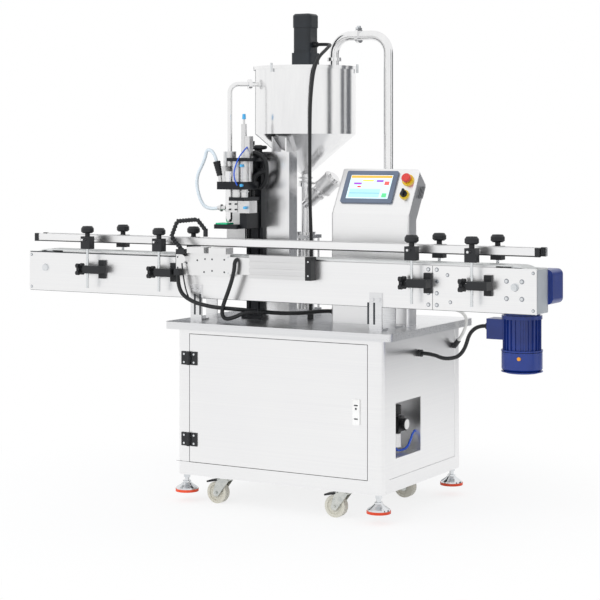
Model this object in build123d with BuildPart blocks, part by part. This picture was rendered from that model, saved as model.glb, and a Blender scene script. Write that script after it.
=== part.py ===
from build123d import *
import os
from math import radians, tan, cos, sin, sqrt

# Heated paste filler: a hopper with an agitator, a metering cylinder and one filling
# nozzle over a two metre slat conveyor, all on a stainless cabinet with casters.
# Millimetres. +X runs along the conveyor towards its drive, +Y away from the operator,
# +Z up. The origin is on the floor, in the middle of the machine's overall box.

os.makedirs("parts", exist_ok=True)

# Clearances
slide_gap = 0.3          # radial gap of parts that slide or turn loosely
bearing_gap = 0.05       # radial gap of a shaft in its bearing
door_gap = 2.0           # shadow gap round the door

# Cabinet
cab_x = 95.0             # middle of the cabinet from the machine's middle
cab_y = 0.0
cab_w = 800.0
cab_d = 612.0
cab_bottom = 95.0        # floor to the underside of the frame
post = 53.0              # corner post
post_round = 26.0        # outer corner of a post
rail_low = 44.0          # height of the bottom rails
rail_top = 14.0          # height of the top rails
rail_t = 30.0            # depth of the rails
panel_t = 3.0
panel_in = 2.0           # panels stand back from the rails by this

# Table
table_top_z = 621.0
table_h = 25.0
table_over = 38.0        # overhang at the sides
table_d = 656.0
table_round = 22.0
table_sheet = 4.0

cab_top = table_top_z - table_h
x_l = cab_x - cab_w / 2
x_r = cab_x + cab_w / 2
y_f = cab_y - cab_d / 2
y_b = cab_y + cab_d / 2

# Casters and feet
wheel_r = 37.5
wheel_w = 25.0
caster_trail = 25.0
caster_plate_t = 4.0
caster_in = 168.5        # caster swivel from the end of the cabinet
caster_x = (x_l + caster_in, x_r - caster_in)
caster_y = (-261.0, 150.0)
foot_lift = 33.0         # the feet are screwed up clear of the floor
foot_r = 40.0
foot_stem_r = 8.0

# Conveyor
conv_y = cab_y - 180.0   # centre line of the slat chain
conv_l = -1013.0         # left end
conv_len = 2010.0
conv_r = conv_l + conv_len
conv_top = 850.0         # carrying face of the slat chain
side_h = 144.0
side_t = 4.0
conv_w = 94.0            # over the side plates
side_z0 = 697.0
side_z1 = side_z0 + side_h
chain_t = 4.0
chain_w = 82.6           # standard slat width
chain_r = 64.0           # inside radius of the chain round its wheels
cover_gap = 2.0
cover_t = 4.0
shaft_z = conv_top - chain_t - chain_r
idler_x = conv_l + cover_t + cover_gap + chain_t + chain_r
drive_x = conv_r - cover_t - cover_gap - chain_t - chain_r
shaft_r = 12.5
front_face = conv_y - conv_w / 2
rear_face = conv_y + conv_w / 2

# Guide rails
rail_z = 892.0
rail_h = 27.0
rail_w = 10.0
rail_gap = 41.0          # clear way for the containers
rail_l = conv_l + 10
rail_r = conv_r + 3
rod_r = 5.0
rod_out = 35.0           # side plate to the rod's axis
rod_z0 = 717.0
front_rod_x = (conv_l + 292, conv_l + 604, conv_r - 418, conv_r - 206)
rear_rod_x = (conv_l + 331, conv_l + 641, conv_r - 397, conv_r - 188)
clamp_w = 39.0
clamp_z0 = 858.0
clamp_z1 = 903.0
clamp_d = 30.0
stud_r = 4.0

# Lift column and filling head
col_x0 = -88.0
col_x1 = 11.0
col_y0 = -74.0
col_d = 55.0
col_z = 1208.0
col_t = 3.0
guide_x0 = -155.0
guide_y0 = -88.0
guide_d = 68.0
screw_x = -122.0
screw_y = -62.0
screw_r = 8.0
noz_x = -170.0
noz_y = -180.0
noz_z = 964.0
noz_r = 12.0
slide_r = 8.5            # feed pipe that slides in the head
vent_x = -204.0
vent_y = -120.0

# Hopper
hop_x = -17.0
hop_y = 90.0
hop_r = 180.0
hop_wall = 3.0
hop_top = 1499.0
hop_low = 1271.0
cone_z = 1128.0
outlet_r = 16.5
lid_r = 186.0
lid_z = 1511.0

# Console
con_x0 = 170.0
con_x1 = 467.0
con_y = -60.0
con_d = 70.0
con_slope_z = 996.0
con_top_y = con_y + 88.0
con_top_z = 1149.0
con_back_y = con_y + 144.0
con_back_z = 1095.0
con_neck_z = 974.0
con_t = 2.0
con_round = 9.0          # folded corners of the console

slope = Vector(0, con_top_y - con_y, con_top_z - con_slope_z).normalized()
slope_out = Vector(0, -slope.Z, slope.Y)


def block(x0, x1, y0, y1, z0, z1, mode=Mode.ADD):
    """A box between two corners."""
    with Locations(((x0 + x1) / 2, (y0 + y1) / 2, (z0 + z1) / 2)):
        Box(x1 - x0, y1 - y0, z1 - z0, mode=mode)


def bar_z(x, y, z0, z1, r, mode=Mode.ADD):
    with Locations((x, y, (z0 + z1) / 2)):
        Cylinder(r, z1 - z0, mode=mode)


def bar_y(x, z, y0, y1, r, mode=Mode.ADD):
    with Locations((x, (y0 + y1) / 2, z)):
        Cylinder(r, y1 - y0, rotation=(90, 0, 0), mode=mode)


def bar_x(y, z, x0, x1, r, mode=Mode.ADD):
    with Locations(((x0 + x1) / 2, y, z)):
        Cylinder(r, x1 - x0, rotation=(0, 90, 0), mode=mode)


def prism(plane, points, amount, mode=Mode.ADD):
    """A straight prism on a polygon."""
    with BuildSketch(plane) as outline:
        with BuildLine():
            Polyline(*points, close=True)
        make_face()
    extrude(outline.sketch, amount=amount, mode=mode)


def turned(x, y, profile, mode=Mode.ADD):
    """A body turned about the upright axis through x, y: profile holds (radius, z)."""
    with BuildSketch(Plane.XZ.offset(-y)) as outline:
        with BuildLine():
            Polyline(*[(x + r, z) for r, z in profile], close=True)
        make_face()
    revolve(outline.sketch, axis=Axis((x, y, 0), (0, 0, 1)), mode=mode)


def save(part, name):
    part.label = name
    export_step(part, "parts/" + name + ".step")


def save_group(name, *groups):
    """Pieces that touch but stay separate solids, as one named part."""
    solids = [s for group in groups for s in group.part.solids()]
    save(Compound(children=solids), name)


def round_post(x, y, sx, sy):
    """Corner post with its outer corner rounded: sx and sy point outwards."""
    with BuildSketch(Plane.XY.offset(cab_bottom)) as outline:
        with Locations((x - sx * post / 2, y - sy * post / 2)):
            Rectangle(post, post)
        outer = outline.vertices().sort_by(lambda v: sx * v.X + sy * v.Y)[-1]
        fillet(outer, post_round)
    extrude(outline.sketch, amount=cab_top - cab_bottom)


corners = [(x_l, y_f, -1, -1), (x_r, y_f, 1, -1), (x_l, y_b, -1, 1), (x_r, y_b, 1, 1)]
foot_places = [(x - sx * post / 2, y - sy * post / 2) for x, y, sx, sy in corners]

# Cabinet frame: four posts with rails between them and the caster plates
with BuildPart() as frame_posts:
    for x, y, sx, sy in corners:
        round_post(x, y, sx, sy)
    for x, y in foot_places:
        bar_z(x, y, cab_bottom, cab_bottom + 70, foot_stem_r + slide_gap, Mode.SUBTRACT)
with BuildPart() as frame_rails:
    for z0, z1 in ((cab_bottom, cab_bottom + rail_low), (cab_top - rail_top, cab_top)):
        block(x_l + post, x_r - post, y_f, y_f + rail_t, z0, z1)
        block(x_l + post, x_r - post, y_b - rail_t, y_b, z0, z1)
        block(x_l, x_l + rail_t, y_f + post, y_b - post, z0, z1)
        block(x_r - rail_t, x_r, y_f + post, y_b - post, z0, z1)
with BuildPart() as caster_plates:
    for x in caster_x:
        for y in caster_y:
            block(x - 46, x + 46, y - 33, y + 33, cab_bottom - caster_plate_t, cab_bottom)
            bar_z(x, y, cab_bottom - caster_plate_t - 1, cab_bottom + 1, 8 + slide_gap, Mode.SUBTRACT)
save_group("cabinet_frame", frame_posts, frame_rails, caster_plates)

panel_z0 = cab_bottom + rail_low
panel_z1 = cab_top - rail_top

# Side and back panels, the floor sheet, and the folded recess behind the side window
win_y0 = -206.0
win_y1 = -20.0
win_z0 = 201.0
win_z1 = 383.0
recess_d = 110.0
recess_t = 2.0
tray_x1 = x_r - panel_in - panel_t
tray_x0 = tray_x1 - recess_d
with BuildPart() as cabinet_panels:
    block(x_l + panel_in, x_l + panel_in + panel_t, y_f + post, y_b - post, panel_z0, panel_z1)
    block(x_l + post, x_r - post, y_b - panel_in - panel_t, y_b - panel_in, panel_z0, panel_z1)
    block(x_l + rail_t, x_r - rail_t, y_f + post, y_b - post, cab_bottom, cab_bottom + panel_t)
    block(x_r - panel_in - panel_t, x_r - panel_in, y_f + post, y_b - post, panel_z0, panel_z1)
    block(tray_x0, tray_x1, win_y0 - recess_t, win_y1 + recess_t, win_z0 - recess_t, win_z1 + recess_t)
    block(tray_x0 + recess_t, x_r, win_y0, win_y1, win_z0, win_z1, Mode.SUBTRACT)
save(cabinet_panels.part, "cabinet_panels")

# Table: a sheet with a turned-down, rounded rim
table_x0 = x_l - table_over
table_x1 = x_r + table_over
table_y0 = cab_y - table_d / 2
table_y1 = cab_y + table_d / 2
table_bar = 75.0
with BuildPart() as table_sheet_part:
    with BuildSketch(Plane.XY.offset(table_top_z - table_sheet)):
        with Locations((cab_x, cab_y)):
            RectangleRounded(table_x1 - table_x0, table_d, table_round)
    extrude(amount=table_sheet)
with BuildPart() as table_long_bars:
    with BuildSketch(Plane.XY.offset(cab_top)):
        with Locations((cab_x, cab_y)):
            RectangleRounded(table_x1 - table_x0, table_d, table_round)
            Rectangle(table_x1 - table_x0 + 2, table_d - 2 * table_bar, mode=Mode.SUBTRACT)
    extrude(amount=table_h - table_sheet)
with BuildPart() as table_side_bars:
    for x0, x1 in ((table_x0, table_x0 + table_bar), (table_x1 - table_bar, table_x1)):
        block(x0, x1, table_y0 + table_bar, table_y1 - table_bar, cab_top, table_top_z - table_sheet)
save_group("table_top", table_sheet_part, table_long_bars, table_side_bars)

# Door with hinges on its left edge
door_x0 = x_l + post + door_gap
door_x1 = x_r - post - door_gap
door_z0 = panel_z0 + door_gap
door_z1 = panel_z1 - door_gap
door_t = 20.0
hinge_z = (218.0, 497.0)
leaf_h = 46.0
leaf_w = 24.0
leaf_t = 4.0
pin_y = y_f - 6.0
pin_x = x_l + post + door_gap / 2
knuckle_r = 6.0
pin_r = 3.0
latch_x = 401.0
latch_z = 360.0
latch_w = 26.0
latch_h = 84.0
with BuildPart() as door_panel:
    block(door_x0, door_x1, y_f, y_f + door_t, door_z0, door_z1)
    block(door_x0 + 2, door_x1 - 2, y_f + 2, y_f + door_t + 1, door_z0 + 2, door_z1 - 2, Mode.SUBTRACT)
save(door_panel.part, "door_panel")


def hinge_half(side, knuckles):
    """One leaf and its knuckles: side -1 is the post's, +1 the door's."""
    for z in hinge_z:
        x0, x1 = sorted((pin_x + side * 7.5, pin_x + side * (7.5 + leaf_w)))
        block(x0, x1, y_f - leaf_t, y_f, z - leaf_h / 2, z + leaf_h / 2)
        for k0, k1 in knuckles:
            x2, x3 = sorted((pin_x, pin_x + side * 9.0))
            block(x2, x3, y_f - leaf_t - 4, y_f - 0.5, z + k0, z + k1)
            bar_z(pin_x, pin_y, z + k0, z + k1, knuckle_r)
            bar_z(pin_x, pin_y, z + k0 - 1, z + k1 + 1, pin_r + bearing_gap, Mode.SUBTRACT)


with BuildPart() as door_hinge_leaves:
    hinge_half(1, [(-7.5, 7.5)])
save(door_hinge_leaves.part, "door_hinge_leaves")

with BuildPart() as post_hinge_leaves:
    hinge_half(-1, [(-leaf_h / 2, -8), (8, leaf_h / 2)])
    for z in hinge_z:
        bar_z(pin_x, pin_y, z - leaf_h / 2, z + leaf_h / 2, pin_r)
save(post_hinge_leaves.part, "post_hinge_leaves")

# Door latch: a lift-out lever
latch_r = 2.2            # rolled top end the lever turns on
with BuildPart() as latch_lever:
    lever_y = y_f - slide_gap - latch_r
    lever_z = latch_z + latch_h / 2 - latch_r
    block(latch_x - latch_w / 2, latch_x + latch_w / 2, lever_y - latch_r, lever_y + latch_r,
          latch_z - latch_h / 2, lever_z)
    bar_x(lever_y, lever_z, latch_x - latch_w / 2, latch_x + latch_w / 2, latch_r)
save(latch_lever.part, "latch_lever")

# Casters: a swivelling fork with its king pin, and a wheel
plate_z = cab_bottom - caster_plate_t
cheek_in = wheel_w / 2 + 1.5
cheek_t = 3.0


def caster_fork(x, y, way):
    """Fork, ring, king pin and axle: the wheel trails along X by way."""
    wx = x + way * caster_trail
    bar_z(x, y, plate_z - 7, plate_z - slide_gap, 21)
    bar_z(x, y, plate_z - 8, plate_z + caster_plate_t - slide_gap, 8)
    block(x - 24, x + 24, y - cheek_in - cheek_t, y + cheek_in + cheek_t, plate_z - 11, plate_z - 7)
    cheek = [(x - way * 24, plate_z - 11), (x + way * 24, plate_z - 11), (wx + way * 13, wheel_r - 4),
             (wx + way * 6, wheel_r - 13), (wx - way * 6, wheel_r - 13), (wx - way * 14, wheel_r - 4)]
    prism(Plane.XZ.offset(cheek_in - y), cheek, cheek_t)
    prism(Plane.XZ.offset(-cheek_in - cheek_t - y), cheek, cheek_t)
    bar_y(wx, wheel_r, y - cheek_in - cheek_t - 5, y + cheek_in + cheek_t + 5, 5)


def caster_wheel(x, y, way):
    wx = x + way * caster_trail
    bar_y(wx, wheel_r, y - wheel_w / 2, y + wheel_w / 2, wheel_r)
    for s in (-1, 1):
        bar_y(wx, wheel_r, y + s * wheel_w / 2 - 3, y + s * wheel_w / 2 + 3, wheel_r - 10, Mode.SUBTRACT)
    bar_y(wx, wheel_r, y - wheel_w / 2, y + wheel_w / 2, 11)
    bar_y(wx, wheel_r, y - wheel_w, y + wheel_w, 5 + bearing_gap, Mode.SUBTRACT)


place_names = ("front_left", "front_right", "rear_left", "rear_right")
caster_places = [(x, y, way) for y, way in zip(caster_y, (-1, 1)) for x in caster_x]
for (x, y, way), place in zip(caster_places, place_names):
    with BuildPart() as fork:
        caster_fork(x, y, way)
    save(fork.part, "caster_fork_" + place)
    with BuildPart() as wheel:
        caster_wheel(x, y, way)
    save(wheel.part, "caster_wheel_" + place)

# Levelling feet: stem, bell and a rubber pad under each post
with BuildPart() as levelling_feet:
    for x, y in foot_places:
        turned(x, y, [(0, foot_lift + 9), (foot_r - 2, foot_lift + 9), (foot_r - 3, foot_lift + 14),
                      (22, foot_lift + 24), (14, foot_lift + 31), (14, foot_lift + 36),
                      (foot_stem_r, foot_lift + 38), (foot_stem_r, cab_bottom + 55), (0, cab_bottom + 55)])
        with BuildSketch(Plane.XY.offset(cab_bottom - 13)):
            with Locations((x, y)):
                RegularPolygon(13, 6)
        extrude(amount=12.5)
save(levelling_feet.part, "levelling_feet")

with BuildPart() as foot_pads:
    for x, y in foot_places:
        bar_z(x, y, foot_lift, foot_lift + 9, foot_r)
save(foot_pads.part, "foot_pads")

# Air regulator in the service recess: bracket, bowl, body, knob and a gauge
reg_in = 50.0            # regulator from the side of the cabinet
reg_x = x_r - reg_in
reg_y = -110.0
with BuildPart() as air_regulator:
    block(tray_x0 + recess_t, reg_x, reg_y - 12, reg_y + 12, 292, 308)
    block(reg_x - 21, reg_x + 21, reg_y - 21, reg_y + 21, 275, 325)
    bar_z(reg_x, reg_y, 222, 275, 17)
    bar_z(reg_x, reg_y, 325, 332, 10)
    bar_z(reg_x, reg_y, 332, 362, 18)
    bar_x(reg_y, 300, reg_x + 21, reg_x + 27, 8)
    bar_x(reg_y, 300, reg_x + 27, reg_x + 41, 20)
    fillet(air_regulator.edges().filter_by(GeomType.CIRCLE).filter_by(lambda e: e.radius > 17.5), 1.5)
save(air_regulator.part, "air_regulator")

# Conveyor frame: two side plates, cross spacers and the strips that carry the chain
side_round = 4.0
spacer_in = 233.0
spacer_pitch = 220.0
spacer_x = [conv_l + spacer_in + i * spacer_pitch for i in range(int((conv_len - 400) // spacer_pitch) + 1)]
with BuildPart() as conveyor_frame:
    for y0 in (front_face, rear_face - side_t):
        with BuildSketch(Plane.XZ.offset(-y0 - side_t)) as side:
            with Locations(((conv_l + conv_r) / 2, (side_z0 + side_z1) / 2)):
                RectangleRounded(conv_len, side_h, side_round)
        extrude(side.sketch, amount=side_t)
    for x in spacer_x:
        bar_y(x, shaft_z - 20, front_face, rear_face, 8)
        bar_y(x, shaft_z + 44, front_face, rear_face, 8)
    for y0 in (conv_y - 34, conv_y + 22):
        block(idler_x + 70, drive_x - 70, y0, y0 + 12, shaft_z + 48, conv_top - chain_t)
    for x in (idler_x, drive_x):
        bar_y(x, shaft_z, front_face - 1, rear_face + 1, shaft_r + bearing_gap, Mode.SUBTRACT)
save(conveyor_frame.part, "conveyor_frame")

# Slat chain, a closed loop round its end wheels
loop_mid = (idler_x + drive_x) / 2
loop_len = drive_x - idler_x
chain_out = chain_r + chain_t
with BuildPart() as slat_chain:
    with BuildSketch(Plane.XZ.offset(-conv_y - chain_w / 2)):
        with Locations((loop_mid, shaft_z)):
            SlotCenterToCenter(loop_len, 2 * chain_out)
            SlotCenterToCenter(loop_len, 2 * chain_r, mode=Mode.SUBTRACT)
    extrude(amount=chain_w)
save(slat_chain.part, "slat_chain")

# Grey end plates between the side plates
with BuildPart() as end_covers:
    for x in (conv_l, conv_r - cover_t):
        block(x, x + cover_t, front_face + side_t, rear_face - side_t, side_z0 + 2, side_z1 - 3)
save(end_covers.part, "end_covers")

# Wheels and shafts the chain turns on
gear_y1 = -45.0
with BuildPart() as drive_shaft:
    bar_y(drive_x, shaft_z, front_face - 5, gear_y1 + 4, shaft_r)
    bar_y(drive_x, shaft_z, conv_y - 28, conv_y + 28, chain_r - slide_gap)
    bar_y(drive_x, shaft_z, front_face - 9, front_face - 5, 10)
save(drive_shaft.part, "drive_shaft")

with BuildPart() as idler_shaft:
    bar_y(idler_x, shaft_z, front_face - 5, rear_face + 5, shaft_r)
    bar_y(idler_x, shaft_z, conv_y - 28, conv_y + 28, chain_r - slide_gap)
save(idler_shaft.part, "idler_shaft")

# Brackets that stand the conveyor on the table
bracket_t = 5.0
bracket_x = (-273.0, 432.0)
bracket_w = 46.0
with BuildPart() as conveyor_brackets:
    for x in bracket_x:
        for face, way in ((front_face, -1), (rear_face, 1)):
            ys = sorted((face, face + way * bracket_t))
            block(x - bracket_w / 2, x + bracket_w / 2, ys[0], ys[1], table_top_z, 745)
            ys = sorted((face, face - way * 42.0)) if way < 0 else sorted((face, face + way * 70.0))
            block(x - bracket_w / 2, x + bracket_w / 2, ys[0], ys[1], table_top_z, table_top_z + bracket_t)
            for sx in (-12, 12):
                ys = sorted((face + way * bracket_t, face + way * (bracket_t + 4.5)))
                bar_y(x + sx, 722, ys[0], ys[1], 6.5)
save(conveyor_brackets.part, "conveyor_brackets")


def rod_bracket(x, face, way):
    """Block on the side plate that grips a guide rod, with its star knob."""
    y_rod = face + way * rod_out
    ys = sorted((face, face + way * 10))
    block(x + 30, x + 56, ys[0], ys[1], 751, 817)
    ys = sorted((face + way * 10, y_rod + way * 12))
    block(x - 14, x + 56, ys[0], ys[1], 770, 798)
    bar_z(x, y_rod, 760, 810, rod_r + slide_gap, Mode.SUBTRACT)
    bar_x(y_rod, 784, x - 28, x - 14, 6)
    bar_x(y_rod, 784, x - 40, x - 28, 14)
    for dy, dz in ((1, 1), (1, -1), (-1, 1), (-1, -1)):
        bar_x(y_rod + dy * 13, 784 + dz * 13, x - 40, x - 28, 8)


with BuildPart() as rod_brackets:
    for x in front_rod_x:
        rod_bracket(x, front_face, -1)
    for x in rear_rod_x:
        rod_bracket(x, rear_face, 1)
save(rod_brackets.part, "rod_brackets")


def rail_post(x, y_rod):
    """Rod, clamp block and the round knob on top."""
    bar_z(x, y_rod, rod_z0, clamp_z0 + 22, rod_r)
    block(x - clamp_w / 2, x + clamp_w / 2, y_rod - clamp_d / 2, y_rod + clamp_d / 2, clamp_z0, clamp_z1)
    bar_z(x, y_rod, clamp_z1, clamp_z1 + 12, 9)
    turned(x, y_rod, [(0, clamp_z1 + 12), (17, clamp_z1 + 12), (23, clamp_z1 + 17), (23, clamp_z1 + 29),
                      (17, clamp_z1 + 37), (0, clamp_z1 + 38)])
    bar_y(x, rail_z, y_rod - 20, y_rod + 20, stud_r + slide_gap, Mode.SUBTRACT)


front_rod_y = front_face - rod_out
rear_rod_y = rear_face + rod_out
front_rail_y = conv_y - rail_gap / 2 - rail_w / 2
rear_rail_y = conv_y + rail_gap / 2 + rail_w / 2
stud_out = 34.0
with BuildPart() as front_rail_posts:
    for x in front_rod_x:
        rail_post(x, front_rod_y)
save(front_rail_posts.part, "front_rail_posts")

with BuildPart() as rear_rail_posts:
    for x in rear_rod_x:
        rail_post(x, rear_rod_y)
save(rear_rail_posts.part, "rear_rail_posts")

with BuildPart() as front_rail:
    block(rail_l, rail_r, front_rail_y - rail_w / 2, front_rail_y + rail_w / 2, rail_z - rail_h / 2, rail_z + rail_h / 2)
    for x in front_rod_x:
        bar_y(x, rail_z, front_rod_y - stud_out, front_rail_y, stud_r)
save(front_rail.part, "front_rail")

with BuildPart() as rear_rail:
    block(rail_l, rail_r + 2, rear_rail_y - rail_w / 2, rear_rail_y + rail_w / 2, rail_z - rail_h / 2, rail_z + rail_h / 2)
    for x in rear_rod_x:
        bar_y(x, rail_z, rear_rail_y, rear_rod_y + stud_out, stud_r)
save(rear_rail.part, "rear_rail")

# Drive: worm gearbox behind the rear plate and an upright motor hanging under it
gear_x0 = drive_x - 55
gear_x1 = drive_x + 90
gear_z0 = 723.0
gear_z1 = 834.0
motor_x = drive_x - 33
motor_y = (rear_face + gear_y1) / 2
motor_r = 62.5
fan_r = 66.0
motor_z0 = 496.0
motor_z1 = 682.0
with BuildPart() as worm_gearbox:
    block(gear_x0, gear_x1, rear_face, gear_y1, gear_z0, gear_z1)
    fillet(worm_gearbox.edges().filter_by(Axis.Y), 18)
    bar_z(motor_x, motor_y, 695, gear_z0 + 20, 40)
    bar_z(motor_x, motor_y, motor_z1, 695, 58)
    bar_y(drive_x, shaft_z, rear_face - 1, gear_y1 + 9, shaft_r + bearing_gap, Mode.SUBTRACT)
save(worm_gearbox.part, "worm_gearbox")

box_x0 = motor_x - 111
box_x1 = motor_x - 62
with BuildPart() as drive_motor:
    bar_z(motor_x, motor_y, 564, motor_z1 - 12, motor_r - 5)
    bar_z(motor_x, motor_y, motor_z1 - 12, motor_z1, motor_r + 3)
    for i in range(24):
        with Locations(Location((motor_x, motor_y, 617), (0, 0, i * 15))):
            with Locations((motor_r - 3, 0, 0)):
                Box(6, 3, 106)
    turned(motor_x, motor_y, [(0, motor_z0), (52, motor_z0), (fan_r, motor_z0 + 14), (fan_r, 564), (0, 564)])
    block(box_x0, motor_x, motor_y - 32, motor_y + 32, 602, 668)
save(drive_motor.part, "drive_motor")

# Column: a box section with its foot, cap and the saddle under the hopper
with BuildPart() as column:
    block(col_x0, col_x1, col_y0, col_y0 + col_d, table_top_z, col_z)
    block(col_x0 + col_t, col_x1 - col_t, col_y0 + col_t, col_y0 + col_d - col_t,
          table_top_z + col_t, col_z - col_t, Mode.SUBTRACT)
    for x in (-60, -6):
        block(x, x + 6, col_y0, col_y0 + col_d, col_z, hop_low + 40)
    turned(hop_x, hop_y, [(0, cone_z), (outlet_r, cone_z), (hop_r, hop_low), (hop_r, hop_top), (0, hop_top)],
           Mode.SUBTRACT)
save(column.part, "column")

# Lift guide: the black profile the head runs on, bored for the lift screw
with BuildPart() as lift_guide:
    block(guide_x0, col_x0, guide_y0, guide_y0 + guide_d, table_top_z, col_z)
    block(guide_x0 - 14, col_x0, guide_y0 - 12, guide_y0 + guide_d, table_top_z, table_top_z + 12)
    for x in (guide_x0 + 12, col_x0 - 18):
        block(x, x + 6, guide_y0 - 1, guide_y0 + 6, table_top_z + 20, col_z + 1, Mode.SUBTRACT)
    bar_z(screw_x, screw_y, table_top_z + 40, col_z + 1, screw_r + slide_gap, Mode.SUBTRACT)
save(lift_guide.part, "lift_guide")

with BuildPart() as lift_handwheel:
    turned(screw_x, screw_y, [(0, table_top_z + 60), (screw_r, table_top_z + 60), (screw_r, col_z), (14, col_z),
                              (14, 1215), (26, 1217), (31, 1220), (31, 1227), (26, 1230), (14, 1229),
                              (12, 1232), (0, 1232)])
    bar_z(screw_x - 22, screw_y, 1222, 1234, 3)
    bar_z(screw_x - 22, screw_y, 1232, 1246, 6)
save(lift_handwheel.part, "lift_handwheel")

# Filling head: a carriage on the guide with its cross plates
head_y0 = -205.0
back_t = 9.7
back_y0 = guide_y0 - slide_gap - back_t
back_y1 = guide_y0 - slide_gap
with BuildPart() as head_carriage:
    block(guide_x0, col_x0, back_y0, back_y1, 942, 1150)
    block(-164, -82, head_y0, back_y0, 1175, 1187)
    block(-204, -95, head_y0, back_y1, 1077, 1104)
    block(-155, -93, head_y0, back_y1, 1038, 1050)
    block(-123, -95, head_y0 + 20, back_y1, 942, 996)
    bar_z(noz_x, noz_y, 1070, 1110, noz_r, Mode.SUBTRACT)
    bar_z(vent_x, vent_y, 1070, 1110, slide_r + slide_gap, Mode.SUBTRACT)
save(head_carriage.part, "head_carriage")

with BuildPart() as dosing_cylinders:
    for x, y, r, z0, z1 in ((-139, -180, 14, 1104, 1175), (-106, -180, 14, 1104, 1175), (-125, -130, 20, 1104, 1175),
                            (-136, -180, 16, 1050, 1077), (-106, -180, 12, 1050, 1077)):
        bar_z(x, y, z0, z1, r)
    block(-120, -74, head_y0 + 4, -150, 996, 1038)
    block(-156, -122, head_y0 + 4, -150, 998, 1038)
    bar_z(-127, -150, 1187, 1305, 10)
    block(-116.9, -97, -162, -138, 1187, 1262)
    block(-231, guide_x0, back_y0, back_y1, 890, 1077)
    block(-228, -190, -144, -98, 1104, 1158)
    bar_z(vent_x, vent_y, 1158, 1209, 23)
    bar_z(vent_x, vent_y, 1100, 1210, slide_r + slide_gap, Mode.SUBTRACT)
save(dosing_cylinders.part, "dosing_cylinders")

with BuildPart() as fill_nozzle:
    turned(noz_x, noz_y, [(5, noz_z), (noz_r - 3, noz_z), (noz_r, noz_z + 10), (noz_r, 1122), (15, 1122),
                          (15, 1140), (0, 1140), (0, 1130), (5, 1130)])
save(fill_nozzle.part, "fill_nozzle")

with BuildPart() as drip_tray:
    block(-216, -123.3, head_y0, -152, 940, 955)
    block(-212, -166, head_y0 + 4, -156, 947, 956, Mode.SUBTRACT)
    block(-212, -166, head_y0 + 4, -156, 947, 960)
save(drip_tray.part, "drip_tray")

# Hopper, its lid and the agitator
vent_z = 1447.0
with BuildPart() as hopper:
    turned(hop_x, hop_y, [(outlet_r - 2, 1097), (outlet_r, 1097), (outlet_r, cone_z), (hop_r, hop_low),
                          (hop_r, hop_top), (hop_r - hop_wall, hop_top), (hop_r - hop_wall, hop_low + 1),
                          (outlet_r - 2, cone_z)])
save(hopper.part, "hopper")

with BuildPart() as hopper_lid:
    turned(hop_x, hop_y, [(0, hop_top), (lid_r, hop_top), (lid_r, lid_z), (0, lid_z)])
    bar_z(hop_x, hop_y, hop_top - 1, lid_z + 1, 8 + bearing_gap, Mode.SUBTRACT)
save(hopper_lid.part, "hopper_lid")

with BuildPart() as agitator_motor:
    for z0, z1, w, r in ((lid_z, 1561, 76, 8), (1561, 1568, 66, 8), (1568, 1651, 68, 12), (1651, 1700, 74, 16)):
        with BuildSketch(Plane.XY.offset(z0)):
            with Locations((hop_x, hop_y)):
                RectangleRounded(w, w, r)
        extrude(amount=z1 - z0)
    chamfer(agitator_motor.faces().sort_by(Axis.Z)[-1].edges(), 6)
    bar_z(hop_x, hop_y, lid_z - 1, lid_z + 32, 8 + bearing_gap, Mode.SUBTRACT)
save(agitator_motor.part, "agitator_motor")

with BuildPart() as agitator_shaft:
    bar_z(hop_x, hop_y, 1170, lid_z + 30, 8)
    for z, span in ((1300, 150), (1420, 150)):
        block(hop_x - span, hop_x + span, hop_y - 4, hop_y + 4, z, z + 16)
    for way in (-1, 1):
        xs = sorted((hop_x + way * 150, hop_x + way * 162))
        block(xs[0], xs[1], hop_y - 4, hop_y + 4, 1285, 1450)
save(agitator_shaft.part, "agitator_shaft")

# Outlet: pipe with an angled valve branch, flange and the metering cylinder on the table
branch_z = 1018.0
branch_a = 40.0
branch = Vector(cos(radians(branch_a)), 0, sin(radians(branch_a)))
branch_at = Vector(hop_x, hop_y, branch_z)


def along_branch(r, a, b):
    mid = branch_at + branch * ((a + b) / 2)
    with Locations(Location((mid.X, mid.Y, mid.Z), (0, 90 - branch_a, 0))):
        Cylinder(r, b - a)


with BuildPart() as outlet_pipe:
    bar_z(hop_x, hop_y, 921, 1097, outlet_r)
    bar_z(hop_x, hop_y, 1084, 1097, 25)
    bar_z(hop_x, hop_y, 912, 921, 38)
    along_branch(20, 0, 78)
    bar_z(hop_x, hop_y, 650, 900, 32)
    block(hop_x - 42, hop_x + 42, hop_y - 42, hop_y + 42, 900, 912)
    block(hop_x - 42, hop_x + 42, hop_y - 42, hop_y + 42, table_top_z, 650)
    for sx in (-34, 34):
        for sy in (-34, 34):
            bar_z(hop_x + sx, hop_y + sy, 650, 900, 4)
save(outlet_pipe.part, "outlet_pipe")

with BuildPart() as valve_actuator:
    along_branch(27, 78, 84)
    along_branch(26, 84, 150)
    along_branch(20, 150, 158)
save(valve_actuator.part, "valve_actuator")


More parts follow.
